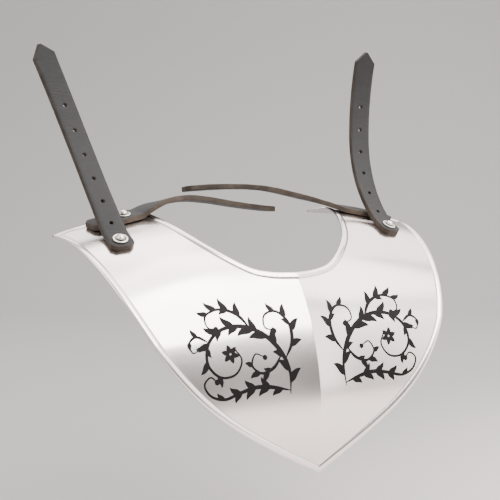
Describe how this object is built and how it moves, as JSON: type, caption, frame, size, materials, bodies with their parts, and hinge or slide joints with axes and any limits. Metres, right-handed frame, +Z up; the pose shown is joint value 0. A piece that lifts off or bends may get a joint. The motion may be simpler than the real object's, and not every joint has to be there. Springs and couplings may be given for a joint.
{
  "type": "breastplate",
  "caption": "Short creased steel breastplate with a pointed lower end, a raised border, shoulders that curve back, and riveted leather shoulder and back straps.",
  "frame": {"origin": "on the sheet's inner face, on the crease, where the plate rests on the breastbone", "axes": "the front faces -Y, +Z is up as worn, and +X is the right side as seen from the front"},
  "size_m": [0.4201, 0.1809, 0.4162],
  "materials": {
    "plate": "pale satin polished steel",
    "leather": "black dyed leather with brown cut edges",
    "fittings": "bright nickel plated steel"
  },
  "bodies": {
    "root": {"breastplate": "plate", "shoulder_strap_left": "leather", "shoulder_strap_right": "leather", "back_strap_left": "leather", "back_strap_right": "leather", "shoulder_rivet_left": "fittings", "shoulder_rivet_right": "fittings", "back_rivet_left": "fittings", "back_rivet_right": "fittings", "shoulder_washer_left": "fittings", "shoulder_washer_right": "fittings", "back_washer_left": "fittings", "back_washer_right": "fittings"}
  },
  "joints": []
}
